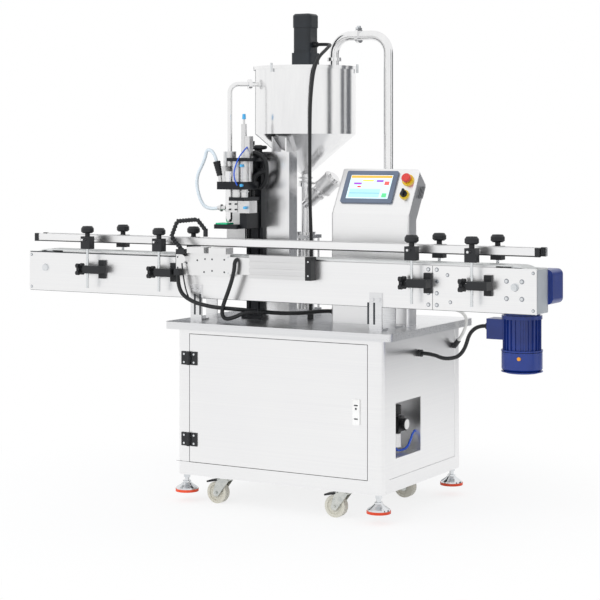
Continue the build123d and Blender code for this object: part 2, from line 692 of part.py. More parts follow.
# Return pipe from the lid to the table, and the feed pipe down to the filling head
ret_r = 17.0
ret_y = 170.0
ret_x0 = 57.0
ret_x1 = 275.0
ret_z = 1622.0
ret_bend = 65.0
feed_bend = 32.0
wall_x = hop_x - hop_r * 0.665
wall_y = hop_y - hop_r * 0.747
with BuildPart() as pipework:
    with BuildLine() as ret_line:
        FilletPolyline((ret_x0, ret_y, lid_z), (ret_x0, ret_y, ret_z), (ret_x1, ret_y, ret_z),
                       (ret_x1, ret_y, table_top_z), radius=ret_bend)
    with BuildSketch(Plane(origin=(ret_x0, ret_y, lid_z))):
        Circle(ret_r)
    sweep(path=ret_line.wires()[0])
    with BuildLine() as feed_line:
        FilletPolyline((vent_x, vent_y, 1125), (vent_x, vent_y, vent_z), (wall_x, wall_y, vent_z),
                       radius=feed_bend)
    with BuildSketch(Plane(origin=(vent_x, vent_y, 1125))):
        Circle(slide_r)
    sweep(path=feed_line.wires()[0])
    turned(hop_x, hop_y, [(0, hop_low), (hop_r, hop_low), (hop_r, hop_top), (0, hop_top)], Mode.SUBTRACT)
save(pipework.part, "pipework")

# Clamps round the pipes
clamp_at = Vector(vent_x + (wall_x - vent_x) * 0.66, vent_y + (wall_y - vent_y) * 0.66, vent_z)
with BuildPart() as pipe_clamps:
    for x, y, z in ((ret_x0, ret_y, 1540), (ret_x1, ret_y, table_top_z + 6)):
        bar_z(x, y, z - 6, z + 6, ret_r + 9)
        bar_z(x, y, z - 7, z + 7, ret_r, Mode.SUBTRACT)
    bar_x(ret_y, ret_z, 150, 162, ret_r + 9)
    bar_x(ret_y, ret_z, 149, 163, ret_r, Mode.SUBTRACT)
    with BuildSketch(Plane(origin=(clamp_at.X, clamp_at.Y, clamp_at.Z), z_dir=(wall_x - vent_x, wall_y - vent_y, 0))):
        Circle(slide_r + 9)
        Circle(slide_r, mode=Mode.SUBTRACT)
    extrude(amount=12)
save(pipe_clamps.part, "pipe_clamps")

# Control console: a folded housing with a sloping head
outer_side = [(con_y, table_top_z), (con_y, con_slope_z), (con_top_y, con_top_z), (con_back_y, con_back_z),
              (con_y + 68, con_neck_z), (con_y + 68, table_top_z)]
with BuildPart() as control_console:
    prism(Plane.YZ.offset(con_x0), outer_side, con_x1 - con_x0)
    side_edges = control_console.edges().filter_by(lambda e: e.center().X in (con_x0, con_x1))
    fillet(side_edges.filter_by(lambda e: e.center().Z > table_top_z + 1), con_round)
    with BuildSketch(Plane.YZ.offset(con_x0 + con_t + 2)) as inside:
        with BuildLine():
            Polyline(*outer_side, close=True)
        make_face()
        offset(amount=-con_t - 2, kind=Kind.INTERSECTION)
    extrude(inside.sketch, amount=con_x1 - con_x0 - 2 * con_t - 4, mode=Mode.SUBTRACT)
save(control_console.part, "control_console")


def slope_plane(x, up, out=0.0):
    """Plane on the sloping face, up millimetres from its lower edge."""
    at = Vector(x, con_y, con_slope_z) + slope * up + slope_out * out
    return Plane(origin=(at.X, at.Y, at.Z), x_dir=(1, 0, 0), z_dir=(slope_out.X, slope_out.Y, slope_out.Z))


button_x = 434.0
stop_up = 132.0
turn_up = 76.0
with BuildPart() as hmi_panel:
    with BuildSketch(slope_plane(295, 103)):
        RectangleRounded(198, 124, 6)
    extrude(amount=7)
    with BuildSketch(slope_plane(295, 103, 7)):
        Rectangle(164, 96)
    extrude(amount=-1.5, mode=Mode.SUBTRACT)
save(hmi_panel.part, "hmi_panel")

with BuildPart() as button_collars:
    for up, r in ((stop_up, 21), (turn_up, 17)):
        with BuildSketch(slope_plane(button_x, up)):
            Circle(r)
            Circle(8 + slide_gap, mode=Mode.SUBTRACT)
        extrude(amount=5)
save(button_collars.part, "button_collars")

with BuildPart() as estop_button:
    with BuildSketch(slope_plane(button_x, stop_up, 4.5)):
        Circle(8)
    extrude(amount=8)
    with BuildSketch(slope_plane(button_x, stop_up, 12)):
        Circle(16)
    extrude(amount=13)
    fillet(estop_button.edges().filter_by(GeomType.CIRCLE).filter_by(lambda e: e.radius > 15), 3)
save(estop_button.part, "estop_button")

with BuildPart() as selector_knob:
    with BuildSketch(slope_plane(button_x, turn_up, 0.5)):
        Circle(8)
    extrude(amount=5)
    with BuildSketch(slope_plane(button_x, turn_up, 5.3)):
        Circle(12)
    extrude(amount=8)
    with BuildSketch(slope_plane(button_x, turn_up, 13.3)):
        Rectangle(7, 26)
    extrude(amount=10)
save(selector_knob.part, "selector_knob")

# Stop station on the front side plate: profile, plate and two small stop cylinders
stop_z0 = 777.0
stop_z1 = 856.0
stop_x = (-250.0, -160.0)
stop_w = 70.0
pin_z = 867.0
pin_rod_r = 4.0
with BuildPart() as stop_rail:
    block(-38, 182, front_face - 35, front_face, stop_z0, stop_z1)
    for z in (790, 812, 834):
        block(-39, 183, front_face - 36, front_face - 30, z, z + 7, Mode.SUBTRACT)
save(stop_rail.part, "stop_rail")

with BuildPart() as stop_mounts:
    block(182, 205, front_face - 35, front_face, stop_z0, stop_z1)
    block(-345, -122, front_face - 23, front_face - 19, stop_z0 + 1, stop_z1)
    block(-122, -38, front_face - 23, front_face - 11, stop_z0 + 10, stop_z1 - 10)
    for x in (-330, -140):
        bar_y(x, 800, front_face - 19, front_face, 8)
    for x in stop_x:
        block(x - stop_w / 2, x + stop_w / 2, front_face - 45, front_face + 3, stop_z1, stop_z1 + 21.5)
        bar_y(x, pin_z, front_face - 43, front_face + 4, pin_rod_r + slide_gap, Mode.SUBTRACT)
    bar_y(-310, 835, front_face - 40, front_face - 23, 15)
save(stop_mounts.part, "stop_mounts")

with BuildPart() as stop_rods:
    for x in stop_x:
        bar_y(x, pin_z, front_face - 41, front_face + 5, pin_rod_r)
save(stop_rods.part, "stop_rods")

# Product sensor on a jointed neck
neck_r = 6.0
with BuildPart() as sensor_gooseneck:
    with BuildLine() as neck_line:
        FilletPolyline((-312, -262, 866), (-356, -262, 912), (-340, -250, 965), (-268, -232, 972),
                       (-240, -222, 935), radius=22)
    with BuildSketch(Plane(origin=(-312, -262, 866), z_dir=(-44, 0, 46))):
        Circle(neck_r)
    sweep(path=neck_line.wires()[0])
    block(-330, -296, -274, front_face - 23, 851, 869)
    bar_z(-240, -222, 912, 940, 8)
save(sensor_gooseneck.part, "sensor_gooseneck")

# Glands the hoses and conduits end in
drive_gland = (motor_x - 125, motor_y, 640.0)
cabinet_gland = (508.0, -38.0, 531.0)
elbow_at = Vector(504.0, 232.0, 531.0)
elbow_way = Vector(0.62, -0.11, 0.777).normalized()
elbow_gland = tuple(elbow_at + elbow_way * 24)
console_gland = (330.0, 22.0, 655.0)
lid_gland = (32.0, hop_y, 1590.0)
table_gland = (64.0, -16.0, 640.0)
stop_gland = (-328.0, -263.0, 778.0)
side_gland = (158.0, -26.0, 655.0)
with BuildPart() as cable_glands:
    bar_x(drive_gland[1], drive_gland[2], drive_gland[0], box_x0, 11)
    bar_x(cabinet_gland[1], cabinet_gland[2], x_r, cabinet_gland[0], 12)
    bar_x(elbow_at.Y, elbow_at.Z, x_r, elbow_at.X + 2, 10)
    with BuildSketch(Plane(origin=tuple(elbow_at), z_dir=tuple(elbow_way))):
        Circle(9)
    extrude(amount=24)
    bar_y(console_gland[0], console_gland[2], con_y + 68, console_gland[1], 12)
    bar_x(lid_gland[1], lid_gland[2], hop_x + 34, lid_gland[0], 10)
    bar_z(table_gland[0], table_gland[1], table_top_z, table_gland[2], 11)
    block(-338, -318, -275, front_face - 23, stop_gland[2], 800)
    bar_x(side_gland[1], side_gland[2], side_gland[0], con_x0, 12)
save(cable_glands.part, "cable_glands")


def cord(name, points, d):
    """A hose or conduit: straight runs joined by arcs that use most of the shorter run."""
    p = [Vector(*q) for q in points]
    radii = []
    for a, b, c in zip(p, p[1:], p[2:]):
        half = (b - a).get_angle(c - b) / 2
        radii.append(0.45 * min((b - a).length, (c - b).length) / tan(radians(half)))
    with BuildPart() as hose:
        with BuildLine() as line:
            FilletPolyline(*points, radius=radii)
        with BuildSketch(Plane(origin=points[0], z_dir=tuple(p[1] - p[0]))) as ring:
            Circle(d / 2)
        sweep(ring.sketch, path=line.wires()[0])
    length = line.wires()[0].length
    print(name, "radii", [round(r) for r in radii], "length", round(length), "volume share",
          round(hose.part.volume / (length * 3.14159265 * d * d / 4), 3))
    save(hose.part, name)


cord("motor_conduit", [drive_gland, (712, motor_y, 640), (672, -66, 536), (600, -50, 516), (545, -38, 531),
                       cabinet_gland], 13)
cord("white_hose", [console_gland, (330, 78, 655), (405, 150, 668), (488, 192, 668), (556, 215, 648),
                    tuple(elbow_at + elbow_way * 76), elbow_gland], 11)
cord("agitator_conduit", [lid_gland, (85, hop_y, 1590), (116, 26, 1578), (114, -74, 1524), (102, -84, 1400),
                          (94, -74, 1280), (80, -50, 1150), (72, -34, 1020), (70, -20, 890), (64, -16, 760),
                          table_gland], 12)
cord("stop_conduit", [stop_gland, (-328, -263, 728), (-276, -268, 690), (-190, -262, 672), (-110, -245, 668),
                      (-50, -200, 660), (10, -140, 650), (70, -72, 648), (122, -26, 655), side_gland], 14)
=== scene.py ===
# Heated paste filler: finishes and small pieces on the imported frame
import math
import bmesh
import bpy
from mathutils import Matrix, Vector


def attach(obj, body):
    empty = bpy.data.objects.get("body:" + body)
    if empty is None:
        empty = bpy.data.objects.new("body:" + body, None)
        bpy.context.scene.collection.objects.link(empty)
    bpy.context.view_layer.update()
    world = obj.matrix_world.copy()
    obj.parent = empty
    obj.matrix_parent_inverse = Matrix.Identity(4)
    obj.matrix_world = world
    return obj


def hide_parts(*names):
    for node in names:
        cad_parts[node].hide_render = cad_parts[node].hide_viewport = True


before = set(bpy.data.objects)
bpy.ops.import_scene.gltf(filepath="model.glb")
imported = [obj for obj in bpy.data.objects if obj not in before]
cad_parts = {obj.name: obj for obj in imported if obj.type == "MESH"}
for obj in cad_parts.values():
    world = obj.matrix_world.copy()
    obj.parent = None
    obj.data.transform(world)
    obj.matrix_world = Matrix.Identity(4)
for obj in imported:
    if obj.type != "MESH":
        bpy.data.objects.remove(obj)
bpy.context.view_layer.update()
print("frame loaded:", len(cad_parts), "nodes")

# Camera, solved from the photograph's straight edges
camera = {
    "place": (3.05745, -5.28759, 1.213),
    "turn": 29.94,  # degrees about Z
    "lens": 103.89,  # mm on a 36 mm sensor
    "rise": -0.2494,  # vertical shift
}
cameraData = bpy.data.cameras.new("camera")
cameraData.lens = camera["lens"]
cameraData.sensor_width = 36.0
cameraData.shift_y = camera["rise"]
cameraData.clip_end = 60.0
cameraObject = bpy.data.objects.new("camera", cameraData)
cameraObject.location = camera["place"]
cameraObject.rotation_euler = (math.radians(90), 0, math.radians(camera["turn"]))
bpy.context.scene.collection.objects.link(cameraObject)
bpy.context.scene.camera = cameraObject


# sRGB hex to linear RGBA
def linear(hexColour):
    values = []
    for i in (1, 3, 5):
        c = int(hexColour[i:i + 2], 16) / 255
        values.append(c / 12.92 if c <= 0.04045 else ((c + 0.055) / 1.055) ** 2.4)
    return (*values, 1.0)


# A node with its settings, its socket values and the sockets that feed it
def addNode(tree, kind, settings=None, values=None, links=None):
    node = tree.nodes.new(kind)
    for key, value in (settings or {}).items():
        setattr(node, key, value)
    for key, value in (values or {}).items():
        node.inputs[key].default_value = value
    for key, source in (links or {}).items():
        tree.links.new(source, node.inputs[key])
    return node


def emptyMaterial(name):
    material = bpy.data.materials.new(name)
    material.use_nodes = True
    material.node_tree.nodes.clear()
    return material, material.node_tree


def newMaterial(name):
    material, tree = emptyMaterial(name)
    shader = addNode(tree, "ShaderNodeBsdfPrincipled")
    addNode(tree, "ShaderNodeOutputMaterial", links={"Surface": shader.outputs[0]})
    place = addNode(tree, "ShaderNodeTexCoord").outputs["Object"]
    return material, tree, shader, place


# Colour ramp between two hex colours
def mixColours(tree, factor, first, second):
    ramp = addNode(tree, "ShaderNodeValToRGB", links={"Fac": factor})
    ramp.color_ramp.elements[0].color = linear(first)
    ramp.color_ramp.elements[1].color = linear(second)
    return ramp


# Metal whose brushed lines run along the axis with the smallest grain number; grain is in lines per metre
def metalFinish(name, light, dark, roughness, grain, depth, spread=0.08):
    material, tree, shader, place = newMaterial(name)
    stretch = addNode(tree, "ShaderNodeMapping", values={"Scale": grain}, links={"Vector": place})
    lines = addNode(tree, "ShaderNodeTexNoise", values={"Scale": 1.0, "Detail": 3.0, "Roughness": 0.6},
                    links={"Vector": stretch.outputs[0]})
    cloud = addNode(tree, "ShaderNodeTexNoise", values={"Scale": 2.4, "Detail": 2.0}, links={"Vector": place})
    # Six parts of lines to four of a slow cloud
    blend = addNode(tree, "ShaderNodeMath", {"operation": "MULTIPLY_ADD"}, {1: 0.6, 2: 0.0},
                    {0: lines.outputs[0]})
    total = addNode(tree, "ShaderNodeMath", {"operation": "MULTIPLY_ADD"}, {1: 0.4},
                    {0: cloud.outputs[0], 2: blend.outputs[0]})
    ramp = mixColours(tree, total.outputs[0], dark, light)
    ramp.color_ramp.elements[0].position = 0.35
    ramp.color_ramp.elements[1].position = 0.62
    gloss = addNode(tree, "ShaderNodeMapRange", links={"Value": lines.outputs[0]},
                    values={"From Min": 0.3, "From Max": 0.7, "To Min": roughness - spread,
                            "To Max": roughness + spread})
    shader.inputs["Metallic"].default_value = 1.0
    tree.links.new(ramp.outputs[0], shader.inputs["Base Color"])
    tree.links.new(gloss.outputs[0], shader.inputs["Roughness"])
    if depth:
        bump = addNode(tree, "ShaderNodeBump", values={"Strength": depth, "Distance": 0.0004},
                       links={"Height": lines.outputs[0]})
        tree.links.new(bump.outputs[0], shader.inputs["Normal"])
    return material


# Painted, anodised or moulded surface with slightly uneven colour and a fine skin, grit grains to the metre
# A grit of 900 is a grain every 1.1 mm, coarser than the real skin so that it shows
def coatedFinish(name, light, dark, roughness, grit, depth, coat=0.0, metallic=0.0):
    material, tree, shader, place = newMaterial(name)
    skin = addNode(tree, "ShaderNodeTexNoise", values={"Scale": grit, "Detail": 4.0}, links={"Vector": place})
    cloud = addNode(tree, "ShaderNodeTexNoise", values={"Scale": 9.0, "Detail": 2.0}, links={"Vector": place})
    ramp = mixColours(tree, cloud.outputs[0], dark, light)
    ramp.color_ramp.elements[0].position = 0.3
    ramp.color_ramp.elements[1].position = 0.7
    gloss = addNode(tree, "ShaderNodeMapRange", links={"Value": skin.outputs[0]},
                    values={"From Min": 0.3, "From Max": 0.7, "To Min": roughness - 0.05,
                            "To Max": roughness + 0.05})
    bump = addNode(tree, "ShaderNodeBump", values={"Strength": depth, "Distance": 0.0003},
                   links={"Height": skin.outputs[0]})
    shader.inputs["Metallic"].default_value = metallic
    shader.inputs["Coat Weight"].default_value = coat
    tree.links.new(ramp.outputs[0], shader.inputs["Base Color"])
    tree.links.new(gloss.outputs[0], shader.inputs["Roughness"])
    tree.links.new(bump.outputs[0], shader.inputs["Normal"])
    return material


# Satin stainless 304, belt ground: fine lines that spread the light along them
# The lines are drawn about 2.4 mm apart, far coarser than real ones, so that they show
satinAcross = metalFinish("stainlessSatinAcross", "#F6F6F6", "#F1F1F2", 0.30, (0.8, 0.8, 420.0), 0.0, 0.015)
satinUp = metalFinish("stainlessSatinUpright", "#F2F2F3", "#EBEBEC", 0.24, (300.0, 300.0, 0.8), 0.0, 0.015)
satinTable = metalFinish("stainlessSatinTable", "#E9E9EA", "#DFE0E2", 0.28, (1.0, 420.0, 420.0), 0.0, 0.015)
# Polished stainless: bright, with soft upright bands from rolling
polished = metalFinish("stainlessPolished", "#F2F2F2", "#E8E8E9", 0.17, (30.0, 30.0, 4.0), 0.0, 0.02)
# Natural anodised aluminium: paler and duller than steel
aluminium = metalFinish("aluminiumNaturalAnodised", "#E6E6E6", "#DCDCDD", 0.34, (2.0, 300.0, 300.0), 0.0,
                        0.02)
# Bright zinc plate: slightly yellow, mottled
zinc = metalFinish("steelZincPlated", "#D8D9D4", "#B4B8B6", 0.30, (60.0, 60.0, 60.0), 0.12, 0.1)
# Bright chrome plate: near mirror, neutral
chrome = metalFinish("steelChromePlated", "#E4E6E8", "#CED2D5", 0.12, (40.0, 40.0, 40.0), 0.02, 0.04)
# Black anodised aluminium: deep, satin, a trace of blue
blackAnodised = coatedFinish("aluminiumBlackAnodised", "#191C22", "#0F1216", 0.38, 900.0, 0.10, 0.0, 0.35)
# Glass-filled nylon, moulded: black with a fine grain
blackNylon = coatedFinish("nylonBlackMoulded", "#1E2024", "#131518", 0.46, 1400.0, 0.22)
# Cast nylon wheels: cream, dull, slightly mottled
creamNylon = coatedFinish("nylonCreamMoulded", "#D9D7CB", "#C9C6B8", 0.42, 700.0, 0.12)
# Moulded ABS end plates: mid grey, satin; the mid grey is painted shade on the conveyor's end faces
coverShadeGrey = coatedFinish("endCoverPaintedShade", "#B9BEC2", "#A8AEB3", 0.42, 900.0, 0.12)
# Drive motor's blue enamel: glossy over a rough cast skin
blueEnamel = coatedFinish("enamelBlueGloss", "#123488", "#0B2770", 0.36, 260.0, 0.3, 0.15)
# Agitator motor's enamel: near black slate, satin
slateEnamel = coatedFinish("enamelSlateSatin", "#1A222A", "#11171D", 0.40, 420.0, 0.15, 0.05)
# Cast polyurethane pads: matt orange
orangePad = coatedFinish("polyurethaneOrange", "#F0532A", "#DB4218", 0.44, 500.0, 0.12)
# Moulded ABS button and collars: glossy, even colour
redGloss = coatedFinish("absRedGloss", "#DE3A34", "#C92C28", 0.26, 700.0, 0.06, 0.3)
yellowGloss = coatedFinish("absYellowGloss", "#F4D33A", "#E6C020", 0.32, 700.0, 0.06, 0.2)
# Lacquered zinc casting: white, smooth
whiteLacquer = coatedFinish("zincWhiteLacquer", "#F6F6F4", "#ECECEA", 0.30, 600.0, 0.05, 0.3)
# Extruded polyamide tube: white, slightly waxy
whiteTube = coatedFinish("polyamideWhiteTube", "#F1F1EE", "#E4E4E0", 0.38, 500.0, 0.06)
# Moulded ABS bezel: blue grey with a fine grain
bezelGrey = coatedFinish("absBezelBlueGrey", "#6E7B90", "#5F6C80", 0.40, 900.0, 0.10)
# Moulded acetal slats: pale grey, low gloss
chainAcetal = coatedFinish("acetalGreySlats", "#D9DBDA", "#C9CCCB", 0.40, 700.0, 0.08)


# One piece in two finishes, parted at a height or width; each is (colour, metallic, roughness)
def twoFinish(name, axis, limit, under, over):
    material, tree, shader, place = newMaterial(name)
    parts = addNode(tree, "ShaderNodeSeparateXYZ", links={0: place})
    side = addNode(tree, "ShaderNodeMath", {"operation": "GREATER_THAN"}, {1: limit},
                   {0: parts.outputs[axis]})
    skin = addNode(tree, "ShaderNodeTexNoise", values={"Scale": 900.0, "Detail": 3.0},
                   links={"Vector": place})
    colour = addNode(tree, "ShaderNodeMix", {"data_type": "RGBA"}, {6: linear(under[0]), 7: linear(over[0])},
                     {0: side.outputs[0]})
    metal = addNode(tree, "ShaderNodeMapRange", values={"To Min": under[1], "To Max": over[1]},
                    links={"Value": side.outputs[0]})
    rough = addNode(tree, "ShaderNodeMapRange", values={"To Min": under[2], "To Max": over[2]},
                    links={"Value": side.outputs[0]})
    bump = addNode(tree, "ShaderNodeBump", values={"Strength": 0.12, "Distance": 0.0003},
                   links={"Height": skin.outputs[0]})
    tree.links.new(colour.outputs[2], shader.inputs["Base Color"])
    tree.links.new(metal.outputs[0], shader.inputs["Metallic"])
    tree.links.new(rough.outputs[0], shader.inputs["Roughness"])
    tree.links.new(bump.outputs[0], shader.inputs["Normal"])
    return material


# Ground steel rod below a black nylon clamp; black tray under a green pad; milled plate with a black end cap
rodAndClamp = twoFinish("rodSteelClampNylon", 2, 0.8575, ("#DDE0E2", 1.0, 0.18), ("#191B1F", 0.0, 0.46))
trayAndPad = twoFinish("trayBlackPadGreen", 2, 0.9553, ("#1B1F24", 0.3, 0.4), ("#1FC98E", 0.0, 0.5))
plateAndCap = twoFinish("plateSteelCapBlack", 0, 0.1821, ("#EEEEEE", 1.0, 0.3), ("#15171A", 0.0, 0.42))
# Push-in fittings and tubes: bright moulded nylon, clear blue polyurethane, milky silicone
lightBlue = coatedFinish("nylonLightBlue", "#55B6EA", "#3FA3DC", 0.36, 700.0, 0.06)
tubeBlue = coatedFinish("polyurethaneBlueTube", "#2560DC", "#1A4CC0", 0.28, 700.0, 0.04, 0.2)
hoseClear = coatedFinish("siliconeHoseMilky", "#DFE8EE", "#D0DCE4", 0.28, 400.0, 0.05, 0.3)
# Shadow in a slot or joint, a painted shadow ring round each screw, a plastic plug
darkGap = coatedFinish("shadowGap", "#3A3E43", "#2C3034", 0.6, 400.0, 0.05)
screwShadowGrey = coatedFinish("paintedScrewShadow", "#9A9EA3", "#8A8E93", 0.5, 400.0, 0.05)
amber = coatedFinish("plugAmber", "#F2A62A", "#E29318", 0.35, 500.0, 0.05)
print("materials made")

finishes = {
    satinAcross: ["cabinet_frame", "cabinet_panels", "door_panel", "control_console", "conveyor_frame",
                  "front_rail", "rear_rail"],
    satinUp: ["column"],
    satinTable: ["table_top", "conveyor_brackets"],
    polished: ["hopper", "hopper_lid", "pipework", "outlet_pipe", "valve_actuator", "pipe_clamps",
               "fill_nozzle", "agitator_shaft"],
    aluminium: ["stop_rail", "dosing_cylinders"],
    zinc: ["caster_fork_front_left", "caster_fork_front_right", "caster_fork_rear_left",
           "caster_fork_rear_right"],
    chrome: ["levelling_feet", "stop_rods", "drive_shaft", "idler_shaft"],
    blackAnodised: ["lift_guide", "head_carriage"],
    rodAndClamp: ["front_rail_posts", "rear_rail_posts"],
    trayAndPad: ["drip_tray"],
    plateAndCap: ["stop_mounts"],
    blackNylon: ["rod_brackets", "door_hinge_leaves", "post_hinge_leaves",
                 "lift_handwheel", "cable_glands", "sensor_gooseneck", "selector_knob", "air_regulator"],
    creamNylon: ["caster_wheel_front_left", "caster_wheel_front_right", "caster_wheel_rear_left",
                 "caster_wheel_rear_right"],
    coverShadeGrey: ["end_covers"],
    blueEnamel: ["worm_gearbox", "drive_motor"],
    slateEnamel: ["agitator_motor"],
    orangePad: ["foot_pads"],
    redGloss: ["estop_button"],
    yellowGloss: ["button_collars"],
    whiteLacquer: ["latch_lever"],
    whiteTube: ["white_hose"],
    bezelGrey: ["hmi_panel"],
    chainAcetal: ["slat_chain"],
}
for material, names in finishes.items():
    for name in names:
        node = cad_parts[name]
        node.data.materials.clear()
        node.data.materials.append(material)
print("frame dressed")


# A box between two corners in millimetres, turned about its own middle
def addBox(mesh, low, high, turn=None):
    middle = (Vector(low) + Vector(high)) / 2000
    size = (Vector(high) - Vector(low)) / 1000
    made = bmesh.ops.create_cube(mesh, size=1.0)["verts"]
    bmesh.ops.scale(mesh, vec=size, verts=made)
    if turn:
        bmesh.ops.rotate(mesh, verts=made, matrix=turn)
    bmesh.ops.translate(mesh, vec=middle, verts=made)


# A round bar or cone from start to end, in millimetres
def addRod(mesh, start, end, radius, far=None, around=20):
    a, b = Vector(start) / 1000, Vector(end) / 1000
    place = Matrix.Translation((a + b) / 2) @ (b - a).to_track_quat("Z", "Y").to_matrix().to_4x4()
    bmesh.ops.create_cone(mesh, cap_ends=True, segments=around, radius1=radius / 1000,
                          radius2=(radius if far is None else far) / 1000, depth=(b - a).length, matrix=place)


# A new object at the scene's origin
def linkObject(name, data):
    made = bpy.data.objects.new(name, data)
    bpy.context.scene.collection.objects.link(made)
    return made


# Turns a bmesh into a piece with its material, riding on one of the part's bodies
def finishPiece(name, mesh, material, body, soften=0.0):
    data = bpy.data.meshes.new(name)
    bmesh.ops.recalc_face_normals(mesh, faces=mesh.faces)
    mesh.to_mesh(data)
    mesh.free()
    for face in data.polygons:
        face.use_smooth = True
    data.set_sharp_from_angle(angle=math.radians(35))
    data.materials.append(material)
    piece = linkObject(name, data)
    if soften:  # width of the rounded edge in millimetres
        rounded = piece.modifiers.new("rounded", "BEVEL")
        rounded.width = soften / 1000
        rounded.segments = 2
        rounded.limit_method = "ANGLE"
    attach(piece, body)
    return piece


# Small pieces, all in millimetres; screws are (x, z, radius) on the plate that they sit on
screws = {
    "sideFace": -227,  # front of the conveyor's side plate
    "side": [(-940, 783, 8), (923, 781, 8), (895, 800, 5), (947, 800, 5), (895, 745, 5), (947, 745, 5),
             (690, 812, 4), (700, 725, 4), (985, 828, 3.5), (985, 710, 3.5), (-1004, 828, 3.5),
             (-1004, 710, 3.5)],
    "spliceX": (622, 652),
    "spliceZ": (828, 790, 752, 714),
    "spliceRadius": 4.5,
    "stopFace": -250,
    "stop": [(-335, 845, 3), (-335, 790, 3), (-130, 845, 3), (-130, 790, 3)],
    "capFace": -262,
    "cap": [(194, 840, 3), (194, 793, 3)],
    "blockFace": -201,
    "blockX": (-152, -128),
    "blockZ": (1008, 1027),
    "ring": 1.6,  # radius of the painted shadow ring against the screw's radius
}
sideFace = screws["sideFace"]
splices = [(x, z) for x in screws["spliceX"] for z in screws["spliceZ"]]
spliceRadius = screws["spliceRadius"]
mesh = bmesh.new()
for x, z, radius in screws["side"]:
    addRod(mesh, (x, sideFace, z), (x, sideFace - 3, z), radius * 1.15, radius)
    addRod(mesh, (x, sideFace - 3, z), (x, sideFace - 3.6, z), radius * 0.45)
for x, z in splices:
    addRod(mesh, (x, sideFace, z), (x, sideFace - 2.8, z), spliceRadius * 1.15, spliceRadius)
for x, z, radius in screws["stop"]:
    addRod(mesh, (x, screws["stopFace"], z), (x, screws["stopFace"] - 2, z), radius)
for x, z, radius in screws["cap"]:
    addRod(mesh, (x, screws["capFace"], z), (x, screws["capFace"] - 1.5, z), radius)
finishPiece("panHeadScrews", mesh, chrome, "machine")
mesh = bmesh.new()
for x in screws["blockX"]:
    for z in screws["blockZ"]:
        addRod(mesh, (x, screws["blockFace"], z), (x, screws["blockFace"] - 5.5, z), 3)
finishPiece("blockScrews", mesh, darkGap, "head")
# Grey rings round the side plate's screws: painted shadow, so that the screws stand out
mesh = bmesh.new()
for x, z, radius in screws["side"]:
    addRod(mesh, (x, sideFace, z), (x, sideFace - 0.3, z), radius * screws["ring"])
for x, z in splices:
    addRod(mesh, (x, sideFace, z), (x, sideFace - 0.3, z), spliceRadius * screws["ring"])
finishPiece("screwShadows", mesh, screwShadowGrey, "machine")

# Joint lines, bracket slots, console louvres, the holes in the stop plate and painted shade along some edges
marks = {
    "splice": 637,
    "lineHalf": 0.6,
    "brackets": (-262, 421),
    "slotsFromBracket": (-16, 6),
    "slotHalf": 3.5,
    "slotHeights": (640, 712),
    "louvreSide": 470,
    "louvreStarts": (18, 29, 40, 51),
    "louvreTilt": -30,  # degrees
    "holes": ((-338, 840), (-338, 803), (-300, 820), (-256, 831), (-224, 836), (-195, 836), (-228, 791),
              (-195, 796), (-145, 793), (-145, 836)),
    "holeRadius": 3.2,
    # Dark lines along the conveyor's top and lower edges and the stop plate's end: painted shade
    "edgeLines": (((-305.2, -306.2, 139.5), (-252, -306, 140.5)),  # door's lower edge
                  ((-1009, -227.6, 837.5), (-346, -227, 841)),  # conveyor's top edge
                  ((-1009, -227.4, 697), (993, -227, 698.2)),  # conveyor's lower edge
                  ((-346.6, -250.3, 777), (-345, -227, 852))),  # stop plate's left end
}
stopFace = screws["stopFace"]
mesh = bmesh.new()
addBox(mesh, (marks["splice"] - marks["lineHalf"], sideFace - 0.4, 698),
       (marks["splice"] + marks["lineHalf"], sideFace, 840))
for bracket in marks["brackets"]:
    for across in marks["slotsFromBracket"]:
        x = bracket + across
        addBox(mesh, (x - marks["slotHalf"], -232.4, marks["slotHeights"][0]),
               (x + marks["slotHalf"], -232, marks["slotHeights"][1]))
tilt = Matrix.Rotation(math.radians(marks["louvreTilt"]), 3, "X")
for y in marks["louvreStarts"]:
    addBox(mesh, (marks["louvreSide"], y, 1046), (marks["louvreSide"] + 0.4, y + 4, 1092), tilt)
for x, z in marks["holes"]:
    addRod(mesh, (x, stopFace, z), (x, stopFace - 0.4, z), marks["holeRadius"])
for low, high in marks["edgeLines"]:
    addBox(mesh, low, high)
finishPiece("slotsJointsAndEdgeShade", mesh, darkGap, "machine")

# Hinge screws, one set on each leaf
hinge = {
    "line": -251,  # x of the pins
    "fromLine": 20,
    "heights": (218, 497),
    "spread": 14,
    "face": -310,
}
for body, title, side in (("machine", "Post", -1), ("door", "Door", 1)):
    x = hinge["line"] + side * hinge["fromLine"]
    mesh = bmesh.new()
    for middle in hinge["heights"]:
        for z in (middle - hinge["spread"], middle + hinge["spread"]):
            addRod(mesh, (x, hinge["face"], z), (x, hinge["face"] - 1.5, z), 4.2, 3.6)
    finishPiece("hingeScrews" + title, mesh, chrome, body)

# Latch: two lines across the lever and the lock between them
latch = {
    "across": (394, 408),
    "lines": ((380, 384), (336, 340)),
    "face": -310.7,
    "lock": (401, 371),
    "lockRadius": 3.5,
}
mesh = bmesh.new()
for low, high in latch["lines"]:
    addBox(mesh, (latch["across"][0], latch["face"] - 0.5, low), (latch["across"][1], latch["face"], high))
x, z = latch["lock"]
addRod(mesh, (x, latch["face"] + 0.1, z), (x, latch["face"] - 0.9, z), latch["lockRadius"])
finishPiece("latchMarks", mesh, darkGap, "latch")

